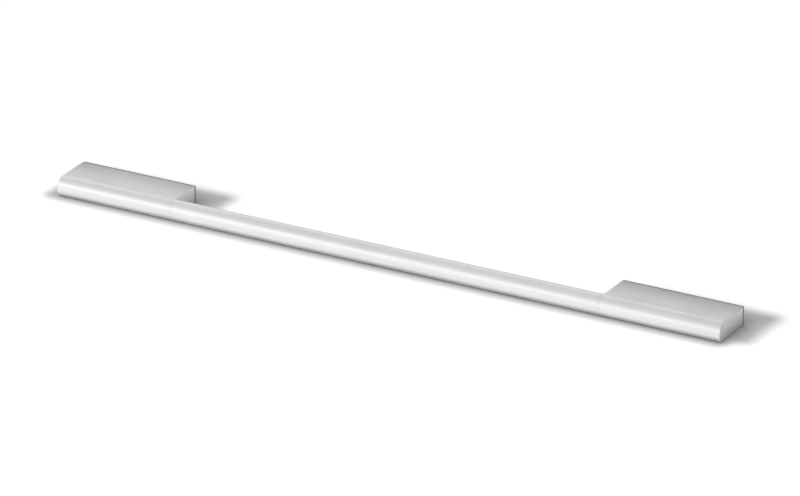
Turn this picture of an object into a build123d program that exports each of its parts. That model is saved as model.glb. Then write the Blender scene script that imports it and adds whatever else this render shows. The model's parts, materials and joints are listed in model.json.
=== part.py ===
"""Refrigerator door handle: a hollow grip bar screwed between two cast feet.

Millimetres. X runs along the bar, the door is the plane y = 0, the front of the handle faces -Y
and Z is up. The origin is the middle of the line of fixing holes, on the door.
"""

import os
from math import atan2, degrees, sqrt

from build123d import *

# Overall sizes
overall_length = 750.0
section_height = 20.0
projection = 53.0
foot_length = 132.0

# Nose of the section: three arcs, each tangent to the next
nose_top_radius = 10.8
nose_front_radius = 22.0
nose_under_radius = 6.0
foremost_height = 6.0

# Grip bar: an extrusion with one screw port on its back wall
bar_depth = 14.5
bar_wall = 2.0
bar_back_radius = 2.5
bar_core_radius = 1.0
bar_end_chamfer = 0.25
port_wall = 1.6

# Feet: die-cast shells that are open at the back
foot_wall = 3.0
foot_inner_wall = 5.0
foot_edge_radius = 0.5
web_thickness = 2.5
web_setback = 1.0
boss_radius = 5.0
boss_outer_inset = 20.0
boss_inner_inset = 42.0

# Tongues on each foot that stop the bar from turning
tongue_length = 2.0
tongue_depth = 3.0
tongue_clearance = 0.2

# Base pads
pad_thickness = 3.0
pad_margin = 0.2
pad_edge_radius = 0.4
pad_rim_depth = 4.0
pad_rim_wall = 1.5
pad_rim_radius = 0.6
pad_rim_clearance = 0.15
pad_boss_clearance = 0.1

# Screw and lock washer that hold the bar to a foot
screw_radius = 2.5
screw_bite = 14.0
screw_hole_clearance = 0.25
screw_thread_clearance = 0.05
screw_tip_chamfer = 0.6
head_radius = 4.25
head_height = 5.0
head_chamfer = 0.4
key_across_flats = 4.0
key_depth = 2.6
washer_radius = 4.3
washer_thickness = 1.2
washer_bore_clearance = 0.1
washer_gap = 1.0

# Threaded inserts for the screws that come through the door
insert_radius = 3.5
insert_length = 12.0
insert_bore_radius = 2.1
insert_clearance = 0.03
door_screw_radius = 2.5
door_screw_clearance = 0.25
door_screw_room = 10.0

# Places that follow from the sizes
underside = -section_height / 2
topside = section_height / 2
front_y = -projection + nose_front_radius
front_z = underside + foremost_height
nose_top_z = topside - nose_top_radius
nose_top_y = front_y - sqrt((nose_front_radius - nose_top_radius) ** 2 - (nose_top_z - front_z) ** 2)
nose_under_z = underside + nose_under_radius
nose_under_y = front_y - sqrt(
    (nose_front_radius - nose_under_radius) ** 2 - (nose_under_z - front_z) ** 2
)
top_turn = 90 - degrees(atan2(nose_top_z - front_z, front_y - nose_top_y))
under_turn = 90 - degrees(atan2(front_z - nose_under_z, front_y - nose_under_y))
front_turn = 180 - top_turn - under_turn
foot_outer_x = overall_length / 2
foot_inner_x = foot_outer_x - foot_length
foot_middle_x = (foot_inner_x + foot_outer_x) / 2
foot_back_y = -pad_thickness
bar_back_y = -projection + bar_depth
bar_length = 2 * foot_inner_x
port_bore = screw_radius + screw_thread_clearance
port_radius = port_bore + port_wall
joint_y = bar_back_y - bar_wall - port_bore
cavity_inner_x = foot_inner_x + foot_inner_wall
cavity_outer_x = foot_outer_x - foot_wall
cavity_length = cavity_outer_x - cavity_inner_x
cavity_height = section_height - 2 * foot_wall
web_back_y = foot_back_y - pad_rim_depth - web_setback
web_depth = projection + web_back_y
tongue_back_y = bar_back_y - bar_wall - tongue_clearance
tongue_low_z = port_radius + tongue_clearance
tongue_high_z = topside - bar_wall - bar_core_radius - tongue_clearance
tongue_height = tongue_high_z - tongue_low_z
tongue_middle_z = (tongue_low_z + tongue_high_z) / 2
head_x = cavity_inner_x + washer_thickness
screw_tip_x = foot_inner_x - screw_bite
boss_places = {
    "inner": (foot_inner_x + boss_inner_inset, 0),
    "outer": (foot_outer_x - boss_outer_inset, 0),
}
boss_points = list(boss_places.values())


def section_outline(back_y, inset):
    """The handle's section from its nose back to back_y, set in by inset all round the nose."""
    with BuildLine() as outline:
        top = CenterArc((nose_top_y, nose_top_z), nose_top_radius - inset, 90, top_turn)
        CenterArc((front_y, front_z), nose_front_radius - inset, 90 + top_turn, front_turn)
        under = CenterArc(
            (nose_under_y, nose_under_z), nose_under_radius - inset, 270 - under_turn, under_turn
        )
        underside_line = Line(under @ 1, (back_y, (under @ 1).Y))
        topside_line = Line(top @ 0, (back_y, (top @ 0).Y))
        Line(underside_line @ 1, topside_line @ 1)
    return outline.line


# Grip bar
with BuildPart() as grip_bar:
    with BuildSketch(Plane.YZ.offset(-foot_inner_x)) as bar_section:
        add(section_outline(bar_back_y, 0))
        make_face()
        fillet(bar_section.vertices().group_by(Axis.X)[-1], bar_back_radius)
    extrude(amount=bar_length)
    chamfer(grip_bar.faces().filter_by(Axis.X).edges(), bar_end_chamfer)
    with BuildSketch(Plane.YZ.offset(-foot_inner_x)) as bar_core:
        add(section_outline(bar_back_y - bar_wall, bar_wall))
        make_face()
        fillet(bar_core.vertices().group_by(Axis.X)[-1], bar_core_radius)
        with Locations((joint_y, 0)):
            Circle(port_radius, mode=Mode.SUBTRACT)
            Circle(port_bore)
    extrude(amount=bar_length, mode=Mode.SUBTRACT)
grip_bar.part.label = "grip_bar"

# Hollow of a foot: the space that the die's core fills, cut round the webs and bosses
with BuildPart() as foot_core:
    with BuildSketch(Plane.YZ.offset(cavity_inner_x)):
        add(section_outline(foot_back_y, foot_wall))
        make_face()
    extrude(amount=cavity_length)
    with BuildSketch(Plane.XY.offset(underside)):
        with Locations([(boss_x, web_back_y) for boss_x, _ in boss_points]):
            Rectangle(web_thickness, web_depth, align=(Align.CENTER, Align.MAX))
    extrude(amount=section_height, mode=Mode.SUBTRACT)
    with BuildSketch(Plane.XZ):
        with Locations(boss_points):
            Circle(boss_radius)
    extrude(amount=projection, mode=Mode.SUBTRACT)

# Right foot: the casting that carries one end of the bar
with BuildPart() as right_foot:
    with BuildSketch(Plane.YZ.offset(foot_inner_x)):
        add(section_outline(foot_back_y, 0))
        make_face()
    extrude(amount=foot_length)
    foot_ends = right_foot.faces().filter_by(Axis.X).edges()
    fillet(foot_ends - foot_ends.group_by(Axis.Y)[-1], foot_edge_radius)
    add(foot_core.part, mode=Mode.SUBTRACT)
    with BuildSketch(Plane.XZ):
        with Locations(boss_points):
            Circle(boss_radius)
    extrude(amount=pad_thickness + pad_rim_depth)
    with BuildSketch(Plane.XZ):
        with Locations(boss_points):
            Circle(insert_radius + insert_clearance)
    extrude(amount=insert_length, mode=Mode.SUBTRACT)
    with BuildSketch(Plane.XZ.offset(insert_length)):
        with Locations(boss_points):
            Circle(door_screw_radius + door_screw_clearance)
    extrude(amount=door_screw_room, mode=Mode.SUBTRACT)
    with BuildSketch(Plane.YZ.offset(foot_inner_x)):
        with Locations((joint_y, 0)):
            Circle(screw_radius + screw_hole_clearance)
    extrude(amount=foot_inner_wall, mode=Mode.SUBTRACT)
    with BuildSketch(Plane.YZ.offset(foot_inner_x)):
        with Locations((tongue_back_y, tongue_middle_z), (tongue_back_y, -tongue_middle_z)):
            Rectangle(tongue_depth, tongue_height, align=(Align.MAX, Align.CENTER))
    extrude(amount=-tongue_length)
right_foot.part.label = "right_foot"

# Right base pad: closes the foot and lies on the door, with a rim that finds the foot's opening
with BuildPart() as right_base_pad:
    with BuildSketch(Plane.XZ):
        with Locations((foot_middle_x, 0)):
            RectangleRounded(
                foot_length - 2 * pad_margin, section_height - 2 * pad_margin, foot_edge_radius
            )
    extrude(amount=pad_thickness)
    fillet(right_base_pad.faces().sort_by(Axis.Y)[-1].edges(), pad_edge_radius)
    with BuildSketch(Plane.XZ.offset(pad_thickness)):
        with Locations(((cavity_inner_x + cavity_outer_x) / 2, 0)):
            RectangleRounded(
                cavity_length - 2 * pad_rim_clearance,
                cavity_height - 2 * pad_rim_clearance,
                pad_rim_radius,
            )
            Rectangle(
                cavity_length - 2 * (pad_rim_clearance + pad_rim_wall),
                cavity_height - 2 * (pad_rim_clearance + pad_rim_wall),
                mode=Mode.SUBTRACT,
            )
    extrude(amount=pad_rim_depth)
    with BuildSketch(Plane.XZ):
        with Locations(boss_points):
            Circle(boss_radius + pad_boss_clearance)
    extrude(amount=pad_thickness + pad_rim_depth, mode=Mode.SUBTRACT)
right_base_pad.part.label = "right_base_pad"

# Right lock washer: a split ring between the foot's inner wall and the screw head
with BuildPart() as right_lock_washer:
    with BuildSketch(Plane.YZ.offset(cavity_inner_x)):
        with Locations((joint_y, 0)):
            Circle(washer_radius)
            Circle(screw_radius + washer_bore_clearance, mode=Mode.SUBTRACT)
            Rectangle(
                washer_gap, washer_radius, align=(Align.CENTER, Align.MIN), mode=Mode.SUBTRACT
            )
    extrude(amount=washer_thickness)
right_lock_washer.part.label = "right_lock_washer"

# Right joint screw: a socket cap screw driven from inside the foot into the bar's port
with BuildPart() as right_joint_screw:
    with BuildSketch(Plane.YZ.offset(screw_tip_x)):
        with Locations((joint_y, 0)):
            Circle(screw_radius)
    extrude(amount=head_x - screw_tip_x)
    chamfer(right_joint_screw.faces().sort_by(Axis.X)[0].edges(), screw_tip_chamfer)
    with BuildSketch(Plane.YZ.offset(head_x)):
        with Locations((joint_y, 0)):
            Circle(head_radius)
    extrude(amount=head_height)
    chamfer(right_joint_screw.faces().sort_by(Axis.X)[-1].edges(), head_chamfer)
    with BuildSketch(Plane.YZ.offset(head_x + head_height)):
        with Locations((joint_y, 0)):
            RegularPolygon(key_across_flats / 2, 6, major_radius=False)
    extrude(amount=-key_depth, mode=Mode.SUBTRACT)
right_joint_screw.part.label = "right_joint_screw"

# Threaded inserts of the right foot
right_inserts = []
for place, boss_point in boss_places.items():
    with BuildPart() as right_insert:
        with BuildSketch(Plane.XZ):
            with Locations(boss_point):
                Circle(insert_radius)
                Circle(insert_bore_radius, mode=Mode.SUBTRACT)
        extrude(amount=insert_length)
    right_insert.part.label = f"right_{place}_insert"
    right_inserts.append(right_insert)

# Left pieces: the right ones in the mirror
right_pieces = [right_foot, right_base_pad, right_lock_washer, right_joint_screw, *right_inserts]
left_pieces = []
for right_piece in right_pieces:
    with BuildPart() as left_piece:
        mirror(right_piece.part, about=Plane.YZ)
    left_piece.part.label = right_piece.part.label.replace("right", "left")
    left_pieces.append(left_piece)

os.makedirs("parts", exist_ok=True)
for piece in [grip_bar, *left_pieces, *right_pieces]:
    export_step(piece.part, f"parts/{piece.part.label}.step")
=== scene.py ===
"""Studio scene of a straight bar handle for an appliance door.

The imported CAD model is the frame: metres, X along the bar, the door's face at y = 0, the front of
the handle towards -Y and Z up. Each piece of the handle is worked out here as a fine numpy surface,
keeps the form of the CAD node that it stands for, and wears a procedural finish.
"""

import json
import logging
import math
from dataclasses import dataclass
from enum import Enum

import bmesh
import bpy
import numpy as np
from mathutils import Matrix, Vector


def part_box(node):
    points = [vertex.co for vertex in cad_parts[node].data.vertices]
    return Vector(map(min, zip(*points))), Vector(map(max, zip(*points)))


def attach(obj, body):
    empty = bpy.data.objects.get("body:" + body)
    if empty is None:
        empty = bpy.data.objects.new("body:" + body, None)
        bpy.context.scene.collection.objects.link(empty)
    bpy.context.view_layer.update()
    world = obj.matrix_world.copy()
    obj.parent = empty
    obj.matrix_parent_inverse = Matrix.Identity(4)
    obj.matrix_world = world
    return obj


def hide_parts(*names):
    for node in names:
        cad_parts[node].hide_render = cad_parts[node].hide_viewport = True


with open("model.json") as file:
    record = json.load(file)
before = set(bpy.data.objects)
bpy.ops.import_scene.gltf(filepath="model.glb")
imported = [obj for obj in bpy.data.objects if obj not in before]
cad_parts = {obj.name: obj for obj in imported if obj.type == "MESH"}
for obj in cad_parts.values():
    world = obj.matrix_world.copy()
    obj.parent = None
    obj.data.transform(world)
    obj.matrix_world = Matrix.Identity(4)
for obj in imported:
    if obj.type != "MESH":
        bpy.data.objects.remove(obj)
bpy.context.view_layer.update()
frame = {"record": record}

log = logging.getLogger("handle")

# Stations are places along an axis, with an inset or a ring of radii for each.
Piece = bpy.types.Object
Material = bpy.types.Material
Socket = bpy.types.NodeSocket
Pair = tuple[float, float]
Triple = tuple[float, float, float]
Stations = tuple[np.ndarray, np.ndarray]

MM = 0.001
WHOLE_TURN = 2 * math.pi
SHARP_ANGLE = math.radians(30)
# How far a chord may lie inside its arc, and how near two points are merged.
ARC_SAG = 0.001 * MM
MERGE_REACH = 0.0001 * MM
# Numbers of points: in straight runs, an arc at least, a rounding, round rods, a pitch of thread.
LONG_RUN, SHORT_RUN, BARE_RUN = 24, 10, 1
LEAST_ARC = 4
ROUNDING_STEPS = 7
PORT_POINTS, BOSS_POINTS = 72, 96
PITCH_STEPS = 8


class Fixing(Enum):
    """A fixing of a foot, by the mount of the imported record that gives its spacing."""

    INNER = "inner_fixings"
    OUTER = "outer_fixings"

    @property
    def offset(self) -> float:
        """Distance of this fixing from the middle of the handle, half the spacing in the record."""
        mounts = {mount["name"]: mount for mount in frame["record"]["mounts"]}
        return mounts[self.value]["dims"]["spacing_x_mm"] / 2 * MM


class Axis(Enum):
    """The axis that a shape is carried along or turned about."""

    ALONG_BAR = 0
    INTO_DOOR = 1


class Fade(Enum):
    """How the colours of a ramp lead from stop to stop."""

    EVEN = "LINEAR"
    SOFT = "EASE"


class Work(Enum):
    """What is done to a blank with another shape."""

    JOIN = "UNION"
    CUT = "DIFFERENCE"


@dataclass(frozen=True)
class Outline:
    """A flat line, or a run of one, with the way that each point moves when the line is set in.

    Attributes:
        points: Places as an array of shape (n, 2).
        normals: Outward directions as an array of shape (n, 2).
    """

    points: np.ndarray
    normals: np.ndarray

    def __add__(self, other: "Outline") -> "Outline":
        """This run followed by the other one."""
        points = np.vstack([self.points, other.points])
        return Outline(points, np.vstack([self.normals, other.normals]))

    def set_in(self, insets: np.ndarray) -> np.ndarray:
        """Copies of the line, moved in along its normals: points - inset * normals."""
        return self.points - np.asarray(insets)[:, None, None] * self.normals


def turned(centre: Pair, radius: float, start: float, turn: float) -> Outline:
    """A run on an arc: centre + radius * (cos a, sin a), with its last point left to the next run.

    Args:
        centre: Centre of the arc.
        radius: Radius of the arc.
        start: Angle of the first point in degrees.
        turn: Angle that the run covers, in degrees.

    Returns:
        The run, with normals away from the centre.
    """
    step = math.degrees(2 * math.acos(1 - ARC_SAG / radius))
    count = max(LEAST_ARC, math.ceil(abs(turn) / step))
    angles = np.radians(start + turn * np.arange(count) / count)
    ways = np.column_stack([np.cos(angles), np.sin(angles)])
    return Outline(np.asarray(centre) + radius * ways, ways)


def straight(start: Pair, end: Pair, start_normal: Pair, end_normal: Pair, count: int) -> Outline:
    """A straight run: start + t * (end - start), with its last point left to the next run.

    Args:
        start: First point.
        end: Point that the run leads to.
        start_normal: Normal at the first point.
        end_normal: Normal that the run's normals lead to in even steps.
        count: Number of points.

    Returns:
        The run.
    """
    share = (np.arange(count) / count)[:, None]
    points = (1 - share) * np.asarray(start) + share * np.asarray(end)
    return Outline(points, (1 - share) * np.asarray(start_normal) + share * np.asarray(end_normal))


def rounded_box(half_width: float, half_height: float, radius: float) -> Outline:
    """A rectangle about the origin with rounded corners, four arcs joined by straight runs.

    The two short sides have no points but their ends, so that caps can be laced up between them.

    Args:
        half_width: Half its size along the first axis.
        half_height: Half its size along the second axis.
        radius: Radius of its corners.

    Returns:
        The closed line, from the upper end of its right side.
    """
    flat_x, flat_y = half_width - radius, half_height - radius
    right, up, left, down = (1, 0), (0, 1), (-1, 0), (0, -1)
    return (
        turned((flat_x, flat_y), radius, 0, 90)
        + straight((flat_x, half_height), (-flat_x, half_height), up, up, LONG_RUN)
        + turned((-flat_x, flat_y), radius, 90, 90)
        + straight((-half_width, flat_y), (-half_width, -flat_y), left, left, BARE_RUN)
        + turned((-flat_x, -flat_y), radius, 180, 90)
        + straight((-flat_x, -half_height), (flat_x, -half_height), down, down, LONG_RUN)
        + turned((flat_x, -flat_y), radius, 270, 90)
        + straight((half_width, -flat_y), (half_width, flat_y), right, right, BARE_RUN)
    )


def square_ends(start: float, end: float, inset: float = 0.0) -> Stations:
    """The two stations of a run with square ends, both set in by the same distance."""
    return np.array([start, end]), np.full(2, inset)


def rounded_ends(ends: Pair, radii: Pair, stations: int, lip: float = 0.3 * MM) -> Stations:
    """Stations of a run whose ends are rounded over.

    At an end the place is r * (1 - cos a) in from it and the inset r * (1 - sin a), for a from 0 to
    90 degrees. The first and last stations lie on the end faces a lip inside the rounding, so that
    the flat caps stay flat when they are shaded.

    Args:
        ends: Places of the first and the last end.
        radii: Radii of the roundings there, 0 for none.
        stations: Number of stations between the roundings.
        lip: Width of the strip between a rounding and its cap.

    Returns:
        The places and the insets of the stations.
    """
    (start, end), (start_radius, end_radius) = ends, radii
    way = math.copysign(1.0, end - start)
    middle = np.linspace(start + way * start_radius, end - way * end_radius, stations + 2)[1:-1]
    first, last = (np.linspace(0, math.pi / 2, ROUNDING_STEPS if r else 1) for r in radii)
    rise = start + way * start_radius * (1 - np.cos(first))
    fall = end - way * end_radius * (1 - np.cos(last))
    places = [[start], rise, middle, fall[::-1], [end]]
    insets = [
        [start_radius + lip],
        start_radius * (1 - np.sin(first)),
        np.zeros(stations),
        end_radius * (1 - np.sin(last))[::-1],
        [end_radius + lip],
    ]
    return np.concatenate(places), np.concatenate(insets)


def carried(outline: Outline, axis: Axis, run: Stations, centre: Pair = (0, 0)) -> np.ndarray:
    """Rings of an outline carried along an axis: (place_i, centre + point_j - inset_i * normal_j).

    Args:
        outline: Line in the two other axes, in their order.
        axis: Axis that it is carried along.
        run: Place of each ring on the axis, and the distance that the ring is set in.
        centre: Shift of the line in its own plane.

    Returns:
        An array of shape (rings, points, 3).
    """
    places, insets = run
    flat = outline.set_in(insets) + np.asarray(centre)
    along = np.broadcast_to(places[:, None], flat.shape[:2])
    return np.stack(np.insert([flat[..., 0], flat[..., 1]], axis.value, along, axis=0), axis=-1)


def spun(axis: Axis, centre: Pair, run: Stations) -> np.ndarray:
    """Rings turned about an axis: (place_i, centre + r_ij * (cos a_j, sin a_j)), a_j = 360 j / n.

    Args:
        axis: Direction of the axis.
        centre: Where the axis lies, in the two other axes in their order.
        run: Place of each ring on the axis, and its radii as an array of shape (rings, points).

    Returns:
        An array of shape (rings, points, 3).
    """
    places, radii = run
    angles = WHOLE_TURN * turns(radii.shape[1])
    across = [centre[0] + radii * np.cos(angles), centre[1] + radii * np.sin(angles)]
    along = np.broadcast_to(places[:, None], radii.shape)
    return np.stack(np.insert(across, axis.value, along, axis=0), axis=-1)


def turns(count: int) -> np.ndarray:
    """That many even steps round a circle, as parts of a turn."""
    return np.arange(count) / count


def ridge(turn: np.ndarray) -> np.ndarray:
    """A V-shaped wave of period 1: 0 at whole numbers, rising evenly to 1 halfway between them."""
    return 1 - np.abs(2 * (turn % 1) - 1)


def plain_rings(places: np.ndarray, radii: np.ndarray, count: int) -> Stations:
    """Round rings at those places and of those radii, with that many points in a ring."""
    return np.asarray(places), np.repeat(np.asarray(radii)[:, None], count, axis=1)


def knurled(run: Stations, rings: tuple[int, ...], depth: float, knurls: int) -> Stations:
    """Upright knurls cut into some rings: radius - depth * ridge(knurls * a / 360).

    Args:
        run: Places and radii of the rings.
        rings: Numbers of the rings that are cut.
        depth: Depth of the knurls.
        knurls: Number of knurls round a ring.

    Returns:
        The places and the new radii.
    """
    places, radii = run
    cut = np.isin(np.arange(len(places)), rings)
    return places, radii - depth * np.outer(cut, ridge(knurls * turns(radii.shape[1])))


def joined(runs: list[Stations]) -> Stations:
    """Runs of rings as one run, in their order."""
    places, radii = zip(*runs)
    return np.concatenate(places), np.concatenate(radii)


def linked(name: str, data: bpy.types.ID) -> Piece:
    """Puts a mesh, lamp or camera into the scene as a new object.

    Args:
        name: Name of the object.
        data: What the object shows.

    Returns:
        The object, at the origin.
    """
    piece = bpy.data.objects.new(name, data)
    bpy.context.scene.collection.objects.link(piece)
    return piece


def loft(name: str, rings: np.ndarray, endless: bool = False) -> Piece:
    """A closed surface through rings of points.

    Each ring meets itself and its neighbours in quads. The first and last ring are closed by flat
    caps, or meet each other where the surface is endless. A cap is laced up between the ring's two
    ends: its k-th strip runs from points k and k + 1 to points n - 1 - k and n - 2 - k.

    Args:
        name: Name of the object.
        rings: Points as an array of shape (rings, points, 3).
        endless: Whether the last ring meets the first.

    Returns:
        The object, at the origin, with its faces outward.
    """
    index = np.arange(rings.shape[0] * rings.shape[1]).reshape(rings.shape[:2])
    low = index if endless else index[:-1]
    high = np.roll(index, -1, axis=0) if endless else index[1:]
    quads = np.stack([low, np.roll(low, -1, axis=1), np.roll(high, -1, axis=1), high], axis=-1)
    faces = quads.reshape(-1, 4).tolist()
    if not endless:
        count = rings.shape[1]
        k = np.arange(count // 2 - 1)
        lacing = np.stack([k, k + 1, count - 2 - k, count - 1 - k], axis=-1)
        tip = [[count // 2 - 1, count // 2, count // 2 + 1]] if count % 2 else []
        for ring in (index[0], index[-1]):
            faces += ring[lacing].tolist() + ring[np.array(tip, int).reshape(-1, 3)].tolist()
    mesh = bpy.data.meshes.new(name)
    mesh.from_pydata(rings.reshape(-1, 3).tolist(), [], faces)
    face_outward(mesh)
    return linked(name, mesh)


def face_outward(mesh: bpy.types.Mesh) -> None:
    """Merges points of a closed mesh that coincide and turns every face outward.

    Args:
        mesh: The mesh.
    """
    shell = bmesh.new()
    shell.from_mesh(mesh)
    bmesh.ops.remove_doubles(shell, verts=shell.verts, dist=MERGE_REACH)
    bmesh.ops.recalc_face_normals(shell, faces=shell.faces)
    shell.to_mesh(mesh)
    shell.free()


def rod(name: str, axis: Axis, centre: Pair, steps: list[Pair], points: int) -> Piece:
    """A round rod about an axis through centre, from the place and radius of each of its rings."""
    return loft(name, spun(axis, centre, plain_rings(*np.array(steps).T, points)))


def rods_at_fixings(name: str, steps: list[Pair]) -> list[Piece]:
    """The same rod on the axis of each fixing."""
    return [rod(name, Axis.INTO_DOOR, (each.offset, 0.0), steps, BOSS_POINTS) for each in Fixing]


def worked(blank: Piece, steps: list[tuple[Work, Piece]]) -> Piece:
    """Joins shapes to a blank and cuts shapes from it, in order.

    Args:
        blank: The shape that is worked on.
        steps: What is done, and the shape that it is done with, which is used up.

    Returns:
        The blank, with the result as its mesh.
    """
    for work, shape in steps:
        modifier = blank.modifiers.new(shape.name, "BOOLEAN")
        modifier.operation = work.value
        modifier.solver = "EXACT"
        modifier.object = shape
    finished = blank.evaluated_get(bpy.context.evaluated_depsgraph_get())
    mesh = bpy.data.meshes.new_from_object(finished)
    blank.modifiers.clear()
    blank.data = mesh
    for _, shape in steps:
        bpy.data.objects.remove(shape)
    return blank


def together(name: str, shapes: list[Piece]) -> Piece:
    """Separate shapes as one object.

    Args:
        name: Name of the object.
        shapes: Shapes that don't touch each other, which are used up.

    Returns:
        The object.
    """
    shell = bmesh.new()
    for shape in shapes:
        shell.from_mesh(shape.data)
        bpy.data.objects.remove(shape)
    mesh = bpy.data.meshes.new(name)
    shell.to_mesh(mesh)
    shell.free()
    return linked(name, mesh)


def mirrored(piece: Piece) -> Piece:
    """The same piece for the other end of the bar: x changes its sign, the faces are turned back.

    Args:
        piece: A piece of the right end.

    Returns:
        A new piece of the left end.
    """
    mesh = piece.data.copy()
    mesh.transform(Matrix.Diagonal((-1.0, 1.0, 1.0, 1.0)))
    mesh.flip_normals()
    return linked(piece.name, mesh)


def hand_in(piece: Piece, node: str, slot: str, finish: Material) -> None:
    """Shades and dresses a finished piece and puts it in the place of its CAD node.

    Args:
        piece: The finished piece.
        node: Name of the CAD node that it stands for.
        slot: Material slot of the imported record.
        finish: Material that it wears.
    """
    piece.name = f"{node}_dressed"
    piece.data.name = piece.name
    piece.data.shade_smooth()
    piece.data.set_sharp_from_angle(angle=SHARP_ANGLE)
    piece.data.materials.clear()
    piece.data.materials.append(finish)
    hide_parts(node)
    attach(piece, "root")
    log.info("%s: %d faces, slot %s", piece.name, len(piece.data.polygons), slot)


def hand_in_pair(right: Piece, node: str, slot: str, finish: Material) -> None:
    """Hands in a piece of the right end, and its mirror image as the left end's.

    Args:
        right: The finished piece of the right end.
        node: What the names of the two CAD nodes have after the side.
        slot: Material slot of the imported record.
        finish: Material that both wear.
    """
    left = mirrored(right)
    hand_in(right, f"right_{node}", slot, finish)
    hand_in(left, f"left_{node}", slot, finish)


class NodeSheet:
    """A sheet of shader nodes."""

    def __init__(self, tree: bpy.types.NodeTree) -> None:
        """Starts with a tree of nodes."""
        self.tree = tree

    def feed(self, node: bpy.types.Node, inputs: dict[str | int, object]) -> None:
        """Links sockets to a node's inputs, and sets inputs to fixed values.

        Args:
            node: The node.
            inputs: A socket or a value for each input, by the input's name or number.
        """
        for name, value in inputs.items():
            if isinstance(value, Socket):
                self.tree.links.new(value, node.inputs[name])
            else:
                node.inputs[name].default_value = value

    def node(self, kind: str, inputs: dict[str | int, object], **settings: str) -> bpy.types.Node:
        """Adds a node.

        Args:
            kind: Kind of node, as its type's name has it after ShaderNode.
            inputs: What goes into its inputs, as feed takes it.
            settings: The node's own settings.

        Returns:
            The node.
        """
        node = self.tree.nodes.new(f"ShaderNode{kind}")
        for name, setting in settings.items():
            setattr(node, name, setting)
        self.feed(node, inputs)
        return node

    def combined(self, operation: str, one: Socket, other: Socket) -> Socket:
        """Two values taken together by a Math node's operation."""
        return self.node("Math", {0: one, 1: other}, operation=operation).outputs["Value"]

    def ramp(self, value: Socket, stops: list[tuple[float, Triple]], fade: Fade) -> Socket:
        """A colour that follows a value.

        Args:
            value: The value, from 0 to 1.
            stops: Place and colour of each stop, from low to high.
            fade: How the colours lead from stop to stop.

        Returns:
            The colour.
        """
        node = self.node("ValToRGB", {"Fac": value})
        node.color_ramp.interpolation = fade.value
        for place, _ in stops[1:-1]:
            node.color_ramp.elements.new(place)
        for element, (place, colour) in zip(node.color_ramp.elements, stops):
            element.position, element.color = place, (*colour, 1.0)
        return node.outputs["Color"]


class FinishSheet(NodeSheet):
    """The sheet of one finish: a Principled shader with patterns on Object coordinates."""

    # Parts of a pattern's range that colour and roughness follow.
    tone_span: Pair = (0.3, 0.7)
    gloss_span: Pair = (0.25, 0.75)
    # Radians that a wave of scale 1 turns through in a metre, and how much its lines waver.
    wave_radians: float = 20.0
    wavering: float = 0.6
    wavering_scale: float = 3.0

    def __init__(self, name: str, constants: dict[str | int, object]) -> None:
        """Starts the sheet.

        Args:
            name: Name of the material.
            constants: Fixed values of the shader's own sockets.
        """
        self.material = bpy.data.materials.new(name)
        self.material.use_nodes = True
        super().__init__(self.material.node_tree)
        self.shader = self.tree.nodes["Principled BSDF"]
        self.place = self.node("TexCoord", {}).outputs["Object"]
        self.feed(self.shader, constants)

    def noise(self, per_metre: Triple, detail: float) -> Socket:
        """A cloudy pattern.

        Args:
            per_metre: Number of its clouds per metre along X, Y and Z.
            detail: How far it is broken up finer.

        Returns:
            The pattern, from 0 to 1.
        """
        place = self.node("Mapping", {"Vector": self.place, "Scale": per_metre}).outputs["Vector"]
        inputs = {"Vector": place, "Scale": 1.0, "Detail": detail}
        return self.node("TexNoise", inputs).outputs["Fac"]

    def pits(self, per_metre: float) -> Socket:
        """A pattern of rounded pits: the distance to the nearest of scattered points."""
        inputs = {"Vector": self.place, "Scale": per_metre}
        return self.node("TexVoronoi", inputs).outputs["Distance"]

    def lathe_lines(self, axis: Axis, per_metre: float) -> Socket:
        """Fine wavering lines across an axis, from 0 to 1, as a turning tool leaves them.

        Args:
            axis: Axis of the turned piece.
            per_metre: Radians of their wave per metre, a whole turn for each line.

        Returns:
            The pattern.
        """
        inputs = {"Vector": self.place, "Scale": per_metre / self.wave_radians}
        inputs |= {"Distortion": self.wavering, "Detail Scale": self.wavering_scale}
        way = "X" if axis is Axis.ALONG_BAR else "Y"
        return self.node("TexWave", inputs, bands_direction=way).outputs["Fac"]

    def blend(self, one: Socket, other: Socket, share: float) -> Socket:
        """Two patterns mixed, with that share of the second one."""
        return self.node("Mix", {"Factor": share, "A": one, "B": other}).outputs["Result"]

    def tones(self, pattern: Socket, dark: Triple, light: Triple) -> None:
        """Colours the shader from dark to light as a pattern rises."""
        colour = self.ramp(pattern, list(zip(self.tone_span, (dark, light))), Fade.EVEN)
        self.feed(self.shader, {"Base Color": colour})

    def roughness(self, pattern: Socket, low: float, high: float) -> None:
        """Lets the shader's roughness rise from low to high with a pattern.

        Args:
            pattern: Pattern that it follows.
            low: Roughness where the pattern is low.
            high: Roughness where the pattern is high.
        """
        start, end = self.gloss_span
        inputs = {"From Min": start, "From Max": end, "To Min": low, "To Max": high}
        span = self.node("MapRange", {"Value": pattern, **inputs})
        self.feed(self.shader, {"Roughness": span.outputs["Result"]})

    def relief(self, pattern: Socket, depth: float, strength: float) -> None:
        """Raises the surface by a pattern, 1 standing for the depth in metres."""
        bump = self.node("Bump", {"Height": pattern, "Distance": depth, "Strength": strength})
        self.feed(self.shader, {"Normal": bump.outputs["Normal"]})


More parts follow.
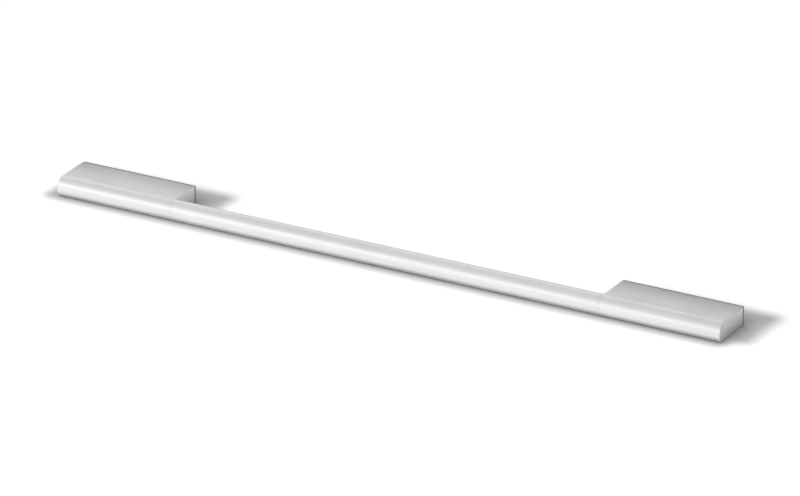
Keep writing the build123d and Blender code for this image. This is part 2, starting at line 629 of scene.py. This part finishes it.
@dataclass(frozen=True)
class SatinAluminium:
    """Blasted and anodised aluminium: an even silver with a fine grain and soft reflections.

    Grains, clouds, specks and pits of the finishes are given by their number per metre.
    """

    name: str = "satin_aluminium"
    dark: Triple = (0.7, 0.7, 0.703)
    light: Triple = (0.88, 0.88, 0.878)
    grain: Triple = (18.0, 3600.0, 3600.0)
    clouds: Triple = (22.0, 30.0, 30.0)
    specks: Triple = (6500.0, 6500.0, 6500.0)
    roughness: Pair = (0.4, 0.52)
    grain_depth: float = 0.03 * MM

    def material(self) -> Material:
        """The finish as a material: grain and slow clouds in tone, roughness and relief.

        Returns:
            The material.
        """
        sheet = FinishSheet(self.name, {"Metallic": 1.0})
        grain = sheet.noise(self.grain, detail=4.0)
        clouds = sheet.noise(self.clouds, detail=2.0)
        specks = sheet.noise(self.specks, detail=2.0)
        speckled = sheet.blend(grain, specks, share=0.4)
        sheet.tones(sheet.blend(clouds, speckled, share=0.7), self.dark, self.light)
        sheet.roughness(sheet.blend(grain, clouds, share=0.4), *self.roughness)
        sheet.relief(sheet.blend(grain, specks, share=0.55), self.grain_depth, strength=0.6)
        return sheet.material


@dataclass(frozen=True)
class MouldedPlastic:
    """Mid-grey moulded plastic with the fine pitted grain of a spark-eroded mould."""

    name: str = "moulded_plastic"
    dark: Triple = (0.3, 0.3, 0.305)
    light: Triple = (0.37, 0.37, 0.375)
    pits: float = 2600.0
    clouds: Triple = (60.0, 60.0, 60.0)
    shine: float = 0.4
    roughness: Pair = (0.55, 0.72)
    pit_depth: float = 0.06 * MM

    def material(self) -> Material:
        """The finish as a material: pits in relief and gloss, and slow clouds in the tone.

        Returns:
            The material.
        """
        sheet = FinishSheet(self.name, {"Specular IOR Level": self.shine})
        pits = sheet.pits(self.pits)
        clouds = sheet.noise(self.clouds, detail=3.0)
        sheet.tones(sheet.blend(clouds, pits, share=0.35), self.dark, self.light)
        sheet.roughness(sheet.blend(pits, clouds, share=0.5), *self.roughness)
        sheet.relief(pits, self.pit_depth, strength=0.5)
        return sheet.material


@dataclass(frozen=True)
class TurnedMetal:
    """Metal from the lathe: clouds in the tone, with fine turned lines in tone, gloss and relief.

    The lines are given in radians of their wave per metre, a whole turn for each line, and the
    shares are what they have of the tone and of the gloss.
    """

    name: str
    axis: Axis
    dark: Triple
    light: Triple
    clouds: Triple
    lines: float
    shares: Pair
    roughness: Pair
    line_depth: float = 0.01 * MM

    def material(self) -> Material:
        """The finish as a material: the lines blended into the clouds, and cut into the relief.

        Returns:
            The material.
        """
        sheet = FinishSheet(self.name, {"Metallic": 1.0})
        clouds = sheet.noise(self.clouds, detail=4.0)
        lines = sheet.lathe_lines(self.axis, self.lines)
        tone, gloss = (sheet.blend(clouds, lines, share) for share in self.shares)
        sheet.tones(tone, self.dark, self.light)
        sheet.roughness(gloss, *self.roughness)
        sheet.relief(lines, self.line_depth, strength=0.3)
        return sheet.material


@dataclass(frozen=True)
class ZincPlatedSteel(TurnedMetal):
    """Bright zinc plate on steel, with turning marks under it and a cloudy, slightly blue sheen."""

    name: str = "zinc_plated_steel"
    axis: Axis = Axis.ALONG_BAR
    dark: Triple = (0.47, 0.48, 0.5)
    light: Triple = (0.62, 0.62, 0.61)
    clouds: Triple = (700.0, 700.0, 700.0)
    lines: float = 9000.0
    shares: Pair = (0.0, 0.4)
    roughness: Pair = (0.22, 0.4)


@dataclass(frozen=True)
class TurnedBrass(TurnedMetal):
    """Brass with fine turned lines, its clouds a little tarnish."""

    name: str = "turned_brass"
    axis: Axis = Axis.INTO_DOOR
    dark: Triple = (0.56, 0.38, 0.15)
    light: Triple = (0.8, 0.6, 0.27)
    clouds: Triple = (420.0, 420.0, 420.0)
    lines: float = 8000.0
    shares: Pair = (0.25, 0.5)
    roughness: Pair = (0.2, 0.38)


@dataclass(frozen=True)
class HandleSection:
    """The section that bar and feet share: flat above and below, with a nose of three arcs."""

    height: float = 20 * MM
    projection: float = 53 * MM
    top_radius: float = 10.8 * MM
    front_radius: float = 22 * MM
    under_radius: float = 6 * MM
    foremost_height: float = 6 * MM

    @property
    def half(self) -> float:
        """Half its height."""
        return self.height / 2

    @property
    def front(self) -> Pair:
        """Centre of the middle arc, in Y and Z."""
        return self.front_radius - self.projection, self.foremost_height - self.half

    def centre(self, radius: float, z: float) -> Pair:
        """Centre in Y and Z, at height z, of an arc that touches the middle arc from inside."""
        rise = z - self.front[1]
        return self.front[0] - math.sqrt((self.front_radius - radius) ** 2 - rise**2), z

    def nose(self) -> tuple[Outline, float, float]:
        """The three arcs, from the front edge of the flat top to that of the flat underside.

        Returns:
            The run, and the y where the top and the underside start.
        """
        front_y, front_z = self.front
        top = self.centre(self.top_radius, self.half - self.top_radius)
        under = self.centre(self.under_radius, self.under_radius - self.half)
        top_turn = 90 - math.degrees(math.atan2(top[1] - front_z, front_y - top[0]))
        under_turn = 90 - math.degrees(math.atan2(front_z - under[1], front_y - under[0]))
        run = (
            turned(top, self.top_radius, 90, top_turn)
            + turned(self.front, self.front_radius, 90 + top_turn, 180 - top_turn - under_turn)
            + turned(under, self.under_radius, 270 - under_turn, under_turn)
        )
        return run, top[0], under[0]

    def flat_backed(self, back_y: float) -> Outline:
        """The section back to a flat back, which keeps its plane when the line is set in.

        Args:
            back_y: Place of the back.

        Returns:
            The closed line in Y and Z, from the back edge of the top.
        """
        nose, top_y, under_y = self.nose()
        up, down = (0, 1), (0, -1)
        return (
            straight((back_y, self.half), (top_y, self.half), up, up, LONG_RUN)
            + nose
            + straight((under_y, -self.half), (back_y, -self.half), down, down, LONG_RUN)
            + straight((back_y, -self.half), (back_y, self.half), down, up, BARE_RUN)
        )

    def round_backed(self, back_y: float, radius: float, inset: float = 0.0) -> Outline:
        """The section back to a flat back with rounded edges, set in all round its nose.

        Args:
            back_y: Place of the back.
            radius: Radius of the back edges.
            inset: Distance that nose, top and underside are set in.

        Returns:
            The closed line in Y and Z, from the upper end of the back.
        """
        nose, top_y, under_y = self.nose()
        half, edge = self.half - inset, back_y - radius
        up, down, back = (0, 1), (0, -1), (1, 0)
        return (
            turned((edge, half - radius), radius, 0, 90)
            + straight((edge, half), (top_y, half), up, up, SHORT_RUN)
            + Outline(nose.points - inset * nose.normals, nose.normals)
            + straight((under_y, -half), (edge, -half), down, down, SHORT_RUN)
            + turned((edge, radius - half), radius, 270, 90)
            + straight((back_y, radius - half), (back_y, half - radius), back, back, BARE_RUN)
        )


@dataclass(frozen=True)
class GripBar:
    """The hollow extrusion that is held, with a round port on its back wall for the end screws."""

    section: HandleSection
    half_length: float = 243 * MM
    back_y: float = -38.5 * MM
    back_radius: float = 2.5 * MM
    end_radius: float = 0.15 * MM
    wall: float = 2 * MM
    core_radius: float = 1 * MM
    port_bore: float = 2.55 * MM
    port_radius: float = 4.15 * MM
    overrun: float = 1 * MM
    stations: int = 80

    @property
    def port_centre(self) -> Pair:
        """Axis of the port in Y and Z, its bore touching the inside of the back wall."""
        return self.back_y - self.wall - self.port_bore, 0.0

    @property
    def reach(self) -> float:
        """Half the length of a shape that is cut right through the bar."""
        return self.half_length + self.overrun

    def skin(self) -> Piece:
        """The outer form: the section carried along X, rounded over at both ends.

        Returns:
            The bar before it is hollowed.
        """
        outline = self.section.round_backed(self.back_y, self.back_radius)
        ends = -self.half_length, self.half_length
        run = rounded_ends(ends, (self.end_radius, self.end_radius), self.stations)
        return loft("bar_skin", carried(outline, Axis.ALONG_BAR, run))

    def hollow(self) -> Piece:
        """The space inside: the section set in by the wall, run past both ends.

        Returns:
            The shape to cut.
        """
        core = self.section.round_backed(self.back_y - self.wall, self.core_radius, self.wall)
        run = square_ends(-self.reach, self.reach)
        return loft("bar_hollow", carried(core, Axis.ALONG_BAR, run))

    def tube(self, name: str, radius: float, reach: float) -> Piece:
        """A round rod on the port's axis, by its radius and half its length."""
        steps = [(-reach, radius), (reach, radius)]
        return rod(name, Axis.ALONG_BAR, self.port_centre, steps, PORT_POINTS)

    def build(self, finish: Material) -> None:
        """Hollows out the bar, adds the port and hands the bar in.

        Args:
            finish: Material of the bar.
        """
        port_wall = self.tube("port_wall", self.port_radius, 2 * self.reach)
        hollow = worked(self.hollow(), [(Work.CUT, port_wall)])
        bore = self.tube("port_bore", self.port_bore, self.reach)
        bar = worked(self.skin(), [(Work.CUT, hollow), (Work.CUT, bore)])
        hand_in(bar, "grip_bar", "bar_metal", finish)


@dataclass(frozen=True)
class Foot:
    """A die-cast shell, open at the back, with webs, screw bosses and tongues for the bar's end."""

    section: HandleSection
    port_centre: Pair
    inner_x: float = 243 * MM
    outer_x: float = 375 * MM
    back_y: float = -3 * MM
    edge_radius: float = 0.5 * MM
    seam_radius: float = 0.2 * MM
    wall: float = 3 * MM
    inner_wall: float = 5 * MM
    boss_radius: float = 5 * MM
    boss_front_y: float = -50.4 * MM
    bore_steps: tuple[Pair, ...] = (
        (1 * MM, 3.53 * MM),
        (-12 * MM, 3.53 * MM),
        (-12 * MM, 2.75 * MM),
        (-22 * MM, 2.75 * MM),
    )
    screw_hole: float = 2.75 * MM
    web_thickness: float = 2.5 * MM
    web_back_y: float = -8 * MM
    web_inset: float = 1.5 * MM
    tongue_length: float = 2 * MM
    tongue_middle: Pair = (-42.2 * MM, 5.575 * MM)
    tongue_half: Pair = (1.5 * MM, 1.225 * MM)
    tongue_corner: float = 0.5 * MM
    tongue_tip: float = 0.3 * MM
    tongue_lip: float = 0.1 * MM
    overrun: float = 1 * MM
    stations: int = 44

    def skin(self) -> Piece:
        """The outer form: the section carried along X past the back, its end edges rounded over.

        Returns:
            The foot before it is hollowed.
        """
        outline = self.section.flat_backed(self.back_y + self.overrun)
        radii = self.seam_radius, self.edge_radius
        run = rounded_ends((self.inner_x, self.outer_x), radii, self.stations)
        return loft("foot_skin", carried(outline, Axis.ALONG_BAR, run))

    def trim(self) -> Piece:
        """A block behind the foot that squares off its back.

        Returns:
            The shape to cut.
        """
        middle, reach = (self.inner_x + self.outer_x) / 2, (self.outer_x - self.inner_x) / 2
        past = self.overrun
        outline = rounded_box(reach + past, self.section.half + past, past)
        run = square_ends(self.back_y, self.back_y + 3 * past)
        return loft("foot_trim", carried(outline, Axis.INTO_DOOR, run, (middle, 0.0)))

    def hollow(self) -> Piece:
        """The space that the die's core fills, run past the open back.

        Returns:
            The shape to cut.
        """
        outline = self.section.flat_backed(self.back_y + self.overrun)
        run = square_ends(self.inner_x + self.inner_wall, self.outer_x - self.wall, self.wall)
        return loft("foot_hollow", carried(outline, Axis.ALONG_BAR, run))

    def webs(self) -> Piece:
        """A thin wall across the shell at each boss, rooted in the shell's walls.

        Returns:
            The shapes to join.
        """
        outline, half = self.section.flat_backed(self.web_back_y), self.web_thickness / 2
        bosses = [fixing.offset for fixing in Fixing]
        runs = [square_ends(boss - half, boss + half, self.web_inset) for boss in bosses]
        rings = [carried(outline, Axis.ALONG_BAR, run) for run in runs]
        return together("foot_webs", [loft("foot_web", ring) for ring in rings])

    def bosses(self) -> Piece:
        """The round bosses of the fixings, from the nose to the door."""
        steps = [(self.boss_front_y, self.boss_radius), (0.0, self.boss_radius)]
        return together("foot_bosses", rods_at_fixings("foot_boss", steps))

    def tongues(self) -> Piece:
        """Two short tongues that reach into the bar's hollow, above and below the port.

        Returns:
            The shapes to join.
        """
        ends = self.inner_x + self.overrun, self.inner_x - self.tongue_length
        run = rounded_ends(ends, (0.0, self.tongue_tip), stations=2, lip=self.tongue_lip)
        outline = rounded_box(*self.tongue_half, self.tongue_corner)
        y, z = self.tongue_middle
        rings = [carried(outline, Axis.ALONG_BAR, run, (y, side * z)) for side in (-1, 1)]
        return together("foot_tongues", [loft("foot_tongue", ring) for ring in rings])

    def holes(self) -> Piece:
        """The stepped bores of the bosses and the hole for the screw into the bar.

        Returns:
            The shapes to cut.
        """
        ends = self.inner_x - self.overrun, self.inner_x + self.inner_wall + self.overrun
        steps = [(x, self.screw_hole) for x in ends]
        hole = rod("foot_screw_hole", Axis.ALONG_BAR, self.port_centre, steps, PORT_POINTS)
        return together("foot_holes", [*rods_at_fixings("foot_bore", list(self.bore_steps)), hole])

    def build(self, finish: Material) -> None:
        """Casts the right foot, and the left one in the mirror.

        Args:
            finish: Material of the feet.
        """
        foot = worked(
            self.skin(),
            [
                (Work.CUT, self.trim()),
                (Work.CUT, self.hollow()),
                (Work.JOIN, self.webs()),
                (Work.JOIN, self.bosses()),
                (Work.JOIN, self.tongues()),
                (Work.CUT, self.holes()),
            ],
        )
        hand_in_pair(foot, "foot", "foot_metal", finish)


@dataclass(frozen=True)
class BasePad:
    """The moulded pad that closes a foot and lies on the door, its rim finding the opening."""

    middle_x: float = 309 * MM
    half_length: float = 65.8 * MM
    half_height: float = 9.8 * MM
    corner_radius: float = 0.5 * MM
    thickness: float = 3 * MM
    edge_radius: float = 0.4 * MM
    lip: float = 0.08 * MM
    rim_middle_x: float = 310 * MM
    rim_half: Pair = (61.85 * MM, 6.85 * MM)
    rim_wall: float = 1.5 * MM
    rim_depth: float = 4 * MM
    rim_radius: float = 0.6 * MM
    rim_inner_radius: float = 0.2 * MM
    rim_root: float = 0.5 * MM
    boss_hole: float = 5.1 * MM
    overrun: float = 1 * MM

    def plate(self) -> Piece:
        """The plate: a rounded rectangle carried from the foot to the door, rounded over there.

        Returns:
            The plate, without holes.
        """
        outline = rounded_box(self.half_length, self.half_height, self.corner_radius)
        ends, radii = (-self.thickness, 0.0), (0.0, self.edge_radius)
        run = rounded_ends(ends, radii, stations=3, lip=self.lip)
        return loft("pad_plate", carried(outline, Axis.INTO_DOOR, run, (self.middle_x, 0.0)))

    def rim(self) -> Piece:
        """The rim: a rounded block rooted in the plate, with a smaller one cut through it.

        Returns:
            The rim.
        """
        length, height = self.rim_half
        centre = (self.rim_middle_x, 0.0)
        root, tip = self.rim_root - self.thickness, -self.thickness - self.rim_depth
        run, past = square_ends(root, tip), square_ends(root + self.overrun, tip - self.overrun)
        outer = rounded_box(length, height, self.rim_radius)
        inner = rounded_box(length - self.rim_wall, height - self.rim_wall, self.rim_inner_radius)
        block = loft("pad_rim", carried(outer, Axis.INTO_DOOR, run, centre))
        core = loft("pad_rim_core", carried(inner, Axis.INTO_DOOR, past, centre))
        return worked(block, [(Work.CUT, core)])

    def holes(self) -> Piece:
        """The holes that the foot's bosses come through.

        Returns:
            The shapes to cut.
        """
        ends = -self.thickness - 2 * self.overrun, self.overrun
        steps = [(y, self.boss_hole) for y in ends]
        return together("pad_holes", rods_at_fixings("pad_hole", steps))

    def build(self, finish: Material) -> None:
        """Moulds the right pad in its finish, and the left one in the mirror."""
        pad = worked(self.plate(), [(Work.JOIN, self.rim()), (Work.CUT, self.holes())])
        hand_in_pair(pad, "base_pad", "pad", finish)


@dataclass(frozen=True)
class JointScrew:
    """A socket cap screw, driven from inside a foot into the bar's port."""

    centre: Pair
    tip_x: float = 229 * MM
    head_x: float = 249.2 * MM
    crest_radius: float = 2.5 * MM
    thread_depth: float = 0.49 * MM
    pitch: float = 0.8 * MM
    tip_chamfer: float = 0.6 * MM
    head_radius: float = 4.25 * MM
    head_height: float = 5 * MM
    head_chamfer: float = 0.4 * MM
    knurl_depth: float = 0.12 * MM
    knurls: int = 30
    knurled_rings: tuple[int, ...] = (4, 5, 6)
    key_half: float = 2 * MM
    key_mouth: float = 2.5 * MM
    key_depths: Triple = (0.1 * MM, 2.08 * MM, 2.6 * MM)
    key_drill_tip: float = 0.2 * MM
    points: int = 120

    def shank(self) -> Stations:
        """The thread: crest - depth * ridge(x / pitch - a / 360), kept inside the tip's cone.

        Returns:
            Places and radii of its rings.
        """
        places = np.arange(self.tip_x, self.head_x, self.pitch / PITCH_STEPS)
        winding = places[:, None] / self.pitch - turns(self.points)
        radii = self.crest_radius - self.thread_depth * ridge(winding)
        cone = self.crest_radius - self.tip_chamfer + places - self.tip_x
        return places, np.minimum(radii, cone[:, None])

    def head(self) -> Stations:
        """The head: a drum with chamfered edges and a knurled side.

        Returns:
            Places and radii of its rings.
        """
        height, edge, rim = self.head_height, self.head_chamfer, self.head_radius
        low, high = [0, 0, edge / 2, edge, 2 * edge], [3 * edge, 2 * edge, edge, 0, 0]
        places = self.head_x + np.array([*low, *(height - np.array(high))])
        radii = [self.crest_radius, rim - edge / 2, *[rim] * 6, rim - edge, self.key_mouth]
        drum = plain_rings(places, radii, self.points)
        return knurled(drum, self.knurled_rings, self.knurl_depth, self.knurls)

    def socket(self) -> Stations:
        """The hexagon socket: half / cos(a - nearest flat's angle), with a drilled cone below.

        Returns:
            Places and radii of its rings.
        """
        places = self.head_x + self.head_height - np.array(self.key_depths)
        sixth = WHOLE_TURN / 6
        angles = WHOLE_TURN * turns(self.points)
        hexagon = self.key_half / np.cos((angles + sixth / 2) % sixth - sixth / 2)
        return places, np.stack([hexagon, hexagon, np.full(self.points, self.key_drill_tip)])

    def build(self, finish: Material) -> None:
        """Turns the right screw, and the left one in the mirror.

        Args:
            finish: Material of the screws.
        """
        run = joined([self.shank(), self.head(), self.socket()])
        screw = loft("joint_screw", spun(Axis.ALONG_BAR, self.centre, run))
        hand_in_pair(screw, "joint_screw", "steel", finish)


@dataclass(frozen=True)
class LockWasher:
    """A split spring washer under the head of a joint screw, drawn flat."""

    centre: Pair
    face_x: float = 248 * MM
    thickness: float = 1.2 * MM
    inner_radius: float = 2.6 * MM
    outer_radius: float = 4.3 * MM
    gap: float = 1 * MM
    edge_radius: float = 0.15 * MM
    stations: int = 121

    def build(self, finish: Material) -> None:
        """Bends the right washer, and the left one in the mirror.

        A small rounded rectangle (thickness t, width w) is carried round the screw's axis from one
        side of the gap to the other: (x + t, centre + (r + w) * (sin a, cos a)).

        Args:
            finish: Material of the washers.
        """
        half_width = (self.outer_radius - self.inner_radius) / 2
        middle = (self.outer_radius + self.inner_radius) / 2
        wire = rounded_box(self.thickness / 2, half_width, self.edge_radius).points
        opening = self.gap / 2 / middle
        angles = np.linspace(opening, WHOLE_TURN - opening, self.stations)[:, None]
        radii = middle + wire[:, 1]
        x = np.broadcast_to(self.face_x + self.thickness / 2 + wire[:, 0], (len(angles), len(wire)))
        y = self.centre[0] + radii * np.sin(angles)
        z = self.centre[1] + radii * np.cos(angles)
        washer = loft("lock_washer", np.stack([x, y, z], axis=-1))
        hand_in_pair(washer, "lock_washer", "steel", finish)


@dataclass(frozen=True)
class ThreadedInsert:
    """A knurled brass insert in a boss, with an inside thread for a screw from behind the door.

    The bands are places of the outside's inner rings, as parts of the length from the mouth.
    """

    length: float = 12 * MM
    radius: float = 3.5 * MM
    core_radius: float = 2.1 * MM
    thread_depth: float = 0.4 * MM
    pitch: float = 0.8 * MM
    mouth_radius: float = 2.75 * MM
    edge: float = 0.2 * MM
    bands: tuple[float, ...] = (0.1, 0.13, 0.42, 0.45, 0.47, 0.53, 0.55, 0.58, 0.87, 0.9)
    groove_rings: tuple[int, ...] = (6, 7)
    groove_radius: float = 3.15 * MM
    knurled_rings: tuple[int, ...] = (3, 4, 9, 10)
    knurl_depth: float = 0.16 * MM
    knurls: int = 24
    points: int = 96

    def bore(self) -> Stations:
        """The thread: core + depth * ridge(y / pitch + a / 360), widened by a cone at each end.

        Returns:
            Places and radii of its rings, from the bottom to the mouth.
        """
        steps = math.ceil(self.length / self.pitch) * PITCH_STEPS
        places = np.linspace(-self.length, 0.0, steps + 1)
        winding = places[:, None] / self.pitch + turns(self.points)
        radii = self.core_radius + self.thread_depth * ridge(winding)
        to_end = np.minimum(-places, places + self.length)
        return places, np.maximum(radii, (self.mouth_radius - to_end)[:, None])

    def outside(self) -> Stations:
        """The outside: chamfered ends, and two knurled bands with a groove between them.

        Returns:
            Places and radii of its rings, from the mouth to the bottom.
        """
        bands = np.array(self.bands) * self.length
        depths = [0.0, self.edge, *bands, self.length - self.edge, self.length]
        radii = np.full(len(depths), self.radius)
        radii[[0, -1]] -= self.edge
        radii[list(self.groove_rings)] = self.groove_radius
        drum = plain_rings(np.negative(depths), radii, self.points)
        return knurled(drum, self.knurled_rings, self.knurl_depth, self.knurls)

    def build(self, finish: Material) -> None:
        """Turns the two inserts of the right foot, and those of the left one in the mirror.

        Args:
            finish: Material of the inserts.
        """
        run = joined([self.bore(), self.outside()])
        for fixing in Fixing:
            rings = spun(Axis.INTO_DOOR, (fixing.offset, 0.0), run)
            insert = loft("insert", rings, endless=True)
            hand_in_pair(insert, f"{fixing.name.lower()}_insert", "insert", finish)


@dataclass(frozen=True)
class Lamp:
    """A soft rectangular lamp, its level the brightness of its face: energy / (pi * area)."""

    name: str
    place: Triple
    aim: Triple
    size: Pair
    level: float

    def build(self) -> None:
        """Hangs the lamp at its place and turns it to what it lights."""
        light = bpy.data.lights.new(self.name, "AREA")
        light.shape = "RECTANGLE"
        light.size, light.size_y = self.size
        light.energy = self.level * math.pi * self.size[0] * self.size[1]
        way = Vector(self.aim) - Vector(self.place)
        lamp = linked(self.name, light)
        lamp.location = self.place
        lamp.rotation_euler = way.to_track_quat("-Z", "Y").to_euler()
        log.info("%s: level %g", self.name, self.level)


@dataclass(frozen=True)
class PaintedShade:
    """A soft shadow painted on the floor around pieces of the handle, by lowering the floor's glow
    there.

    Attributes:
        nodes: CAD nodes of the pieces.
        shift: How far the shade lies from under them.
        reach: Distance over which it fades out.
        depth: Part of the floor's glow that it takes away.
    """

    nodes: tuple[str, ...]
    shift: Triple
    reach: float
    depth: float

    def off_node(self, sheet: FinishSheet, node: str) -> Socket:
        """Distance from a node's shifted box: the length of max(|place - middle| - half, 0).

        Args:
            sheet: Sheet that the nodes are added to.
            node: Name of the CAD node.

        Returns:
            The distance in metres.
        """
        low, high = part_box(node)
        steps = (
            ("SUBTRACT", (low + high) / 2 + Vector(self.shift)),
            ("ABSOLUTE", Vector()),
            ("SUBTRACT", (high - low) / 2),
            ("MAXIMUM", Vector()),
        )
        vector = sheet.place
        for operation, value in steps:
            inputs = {0: vector, 1: value}
            vector = sheet.node("VectorMath", inputs, operation=operation).outputs["Vector"]
        return sheet.node("VectorMath", {0: vector}, operation="LENGTH").outputs["Value"]

    def left_over(self, sheet: FinishSheet) -> Socket:
        """The part of the floor's glow that the shade leaves, a smooth step over the distance.

        Args:
            sheet: Sheet that the nodes are added to.

        Returns:
            A value from 1 - depth under the handle to 1 clear of the shade.
        """
        nearest = self.off_node(sheet, self.nodes[0])
        for node in self.nodes[1:]:
            nearest = sheet.combined("MINIMUM", nearest, self.off_node(sheet, node))
        inputs = {"Value": nearest, "From Max": self.reach, "To Min": 1 - self.depth}
        fade = sheet.node("MapRange", inputs, interpolation_type="SMOOTHSTEP")
        return fade.outputs["Result"]


@dataclass(frozen=True)
class Studio:
    """Camera, floor, dome and lamps.

    The camera stands at the photograph's viewing angle: azimuth from the front towards +X and
    elevation in degrees, distance and shifts in pixels of the 800 pixel wide picture. It is set out
    from base_z, the height of the handle's underside. The dome's levels are given by the cosine of
    the angle from its axis, as a part of the way from -1 to 1.
    """

    azimuth: float = 29.106
    elevation: float = 23.371
    distance: float = 7148.6
    shift: Pair = (6.453, -2.178)
    base_z: float = -10 * MM
    pixel: float = 0.9949 * MM
    picture_width: float = 800.0
    sensor: float = 36.0
    sight: float = 100.0
    floor_z: float = -10.02 * MM
    floor_reach: float = 40.0
    floor_tone: Triple = (0.62, 0.62, 0.62)
    floor_roughness: float = 0.9
    floor_glow: Triple = (0.7, 0.7, 0.7)
    # Painted shadows in the floor's glow: a contact shadow under the whole handle, and a cast
    # shadow shifted right and back from the feet. The metal's underside and end faces mirror them
    # too.
    painted_shades: tuple[PaintedShade, ...] = (
        PaintedShade(("grip_bar", "left_foot", "right_foot"), (-4 * MM, 5.5 * MM, 0.0), 22 * MM, 1.0),
        PaintedShade(("left_foot", "right_foot"), (14 * MM, 23 * MM, 0.0), 25 * MM, 0.82),
    )
    dome_axis: Triple = (-0.75, -0.6, 0.3)
    dome_strength: float = 1.15
    dome_levels: tuple[Pair, ...] = (
        (0.0, 0.04),
        (0.3, 0.05),
        (0.49, 0.215),
        (0.67, 0.6),
        (0.84, 0.72),
        (0.95, 0.74),
        (1.0, 0.76),
    )
    lamps: tuple[Lamp, ...] = (
        Lamp("front_softbox", (-0.55, -1.0, 0.36), (0.0, -0.05, 0.0), (1.8, 0.42), 0.9),
        Lamp("back_strip", (0.05, 0.024, 0.082), (0.05, -0.045, 0.082), (1.1, 0.09), 0.7),
    )

    def camera(self) -> None:
        """Sets up the camera: its axes come from the two angles, its place from the distances."""
        a, e = math.radians(self.azimuth), math.radians(self.elevation)
        right = Vector((math.cos(a), math.sin(a), 0.0))
        up = Vector((-math.sin(a) * math.sin(e), math.cos(a) * math.sin(e), math.cos(e)))
        back = right.cross(up)
        place = (back * self.distance - right * self.shift[0] - up * self.shift[1]) * self.pixel
        place.z += self.base_z
        data = bpy.data.cameras.new("camera")
        data.sensor_width = self.sensor
        data.lens = self.sensor * self.distance / self.picture_width
        data.clip_end = self.sight
        turn = Matrix((right, up, back)).transposed().to_4x4()
        camera = linked("camera", data)
        camera.matrix_world = Matrix.Translation(place) @ turn
        bpy.context.scene.camera = camera

    def floor(self) -> None:
        """Lays a wide pale floor that looks white, with the handle's lamp shadow in its lit part
        and a painted shadow in its glow.

        Its glow is there for camera, glossy and transmission rays only. It is lowered near the
        handle to paint a contact shadow under it and a cast shadow to the right and back, which the
        metal mirrors too.
        """
        ring = turned((0.0, 0.0), self.floor_reach, 0, 360).points
        points = np.column_stack([ring, np.full(len(ring), self.floor_z)])
        mesh = bpy.data.meshes.new("floor")
        mesh.from_pydata(points.tolist(), [], [list(range(len(points)))])
        constants = {"Roughness": self.floor_roughness, "Specular IOR Level": 0.0}
        constants |= {"Base Color": (*self.floor_tone, 1.0)}
        constants |= {"Emission Color": (*self.floor_glow, 1.0)}
        sheet = FinishSheet("pale_floor", constants)
        rays = sheet.node("LightPath", {}).outputs
        glow = rays["Is Camera Ray"]
        for ray in ("Is Glossy Ray", "Is Transmission Ray"):
            glow = sheet.combined("MAXIMUM", glow, rays[ray])
        # Painted shadow: the glow is lowered near the handle.
        for shade in self.painted_shades:
            glow = sheet.combined("MULTIPLY", glow, shade.left_over(sheet))
        sheet.feed(sheet.shader, {"Emission Strength": glow})
        mesh.materials.append(sheet.material)
        linked("floor", mesh)

    def dome(self) -> None:
        """Closes the studio with a dome of soft light that fades from its front to its back."""
        world = bpy.data.worlds.new("dome")
        world.use_nodes = True
        bpy.context.scene.world = world
        sheet = NodeSheet(world.node_tree)
        direction = sheet.node("TexCoord", {}).outputs["Generated"]
        inputs = {0: direction, 1: Vector(self.dome_axis).normalized()}
        cosine = sheet.node("VectorMath", inputs, operation="DOT_PRODUCT").outputs["Value"]
        part = sheet.node("MapRange", {"Value": cosine, "From Min": -1.0}).outputs["Result"]
        stops = [(place, (level, level, level)) for place, level in self.dome_levels]
        inputs = {"Color": sheet.ramp(part, stops, Fade.SOFT), "Strength": self.dome_strength}
        sheet.feed(sheet.tree.nodes["Background"], inputs)

    def build(self) -> None:
        """Sets up the studio and its view settings."""
        self.camera()
        self.floor()
        self.dome()
        for lamp in self.lamps:
            lamp.build()
        bpy.context.scene.view_settings.view_transform = "Standard"


def main() -> None:
    """Builds the handle piece by piece, then the studio."""
    logging.basicConfig(level=logging.INFO, format="%(name)s %(message)s")
    section = HandleSection()
    bar = GripBar(section)
    satin = SatinAluminium().material()
    zinc = ZincPlatedSteel().material()
    bar.build(satin)
    Foot(section, bar.port_centre).build(satin)
    BasePad().build(MouldedPlastic().material())
    JointScrew(bar.port_centre).build(zinc)
    LockWasher(bar.port_centre).build(zinc)
    ThreadedInsert().build(TurnedBrass().material())
    Studio().build()


if __name__ == "__main__":
    main()
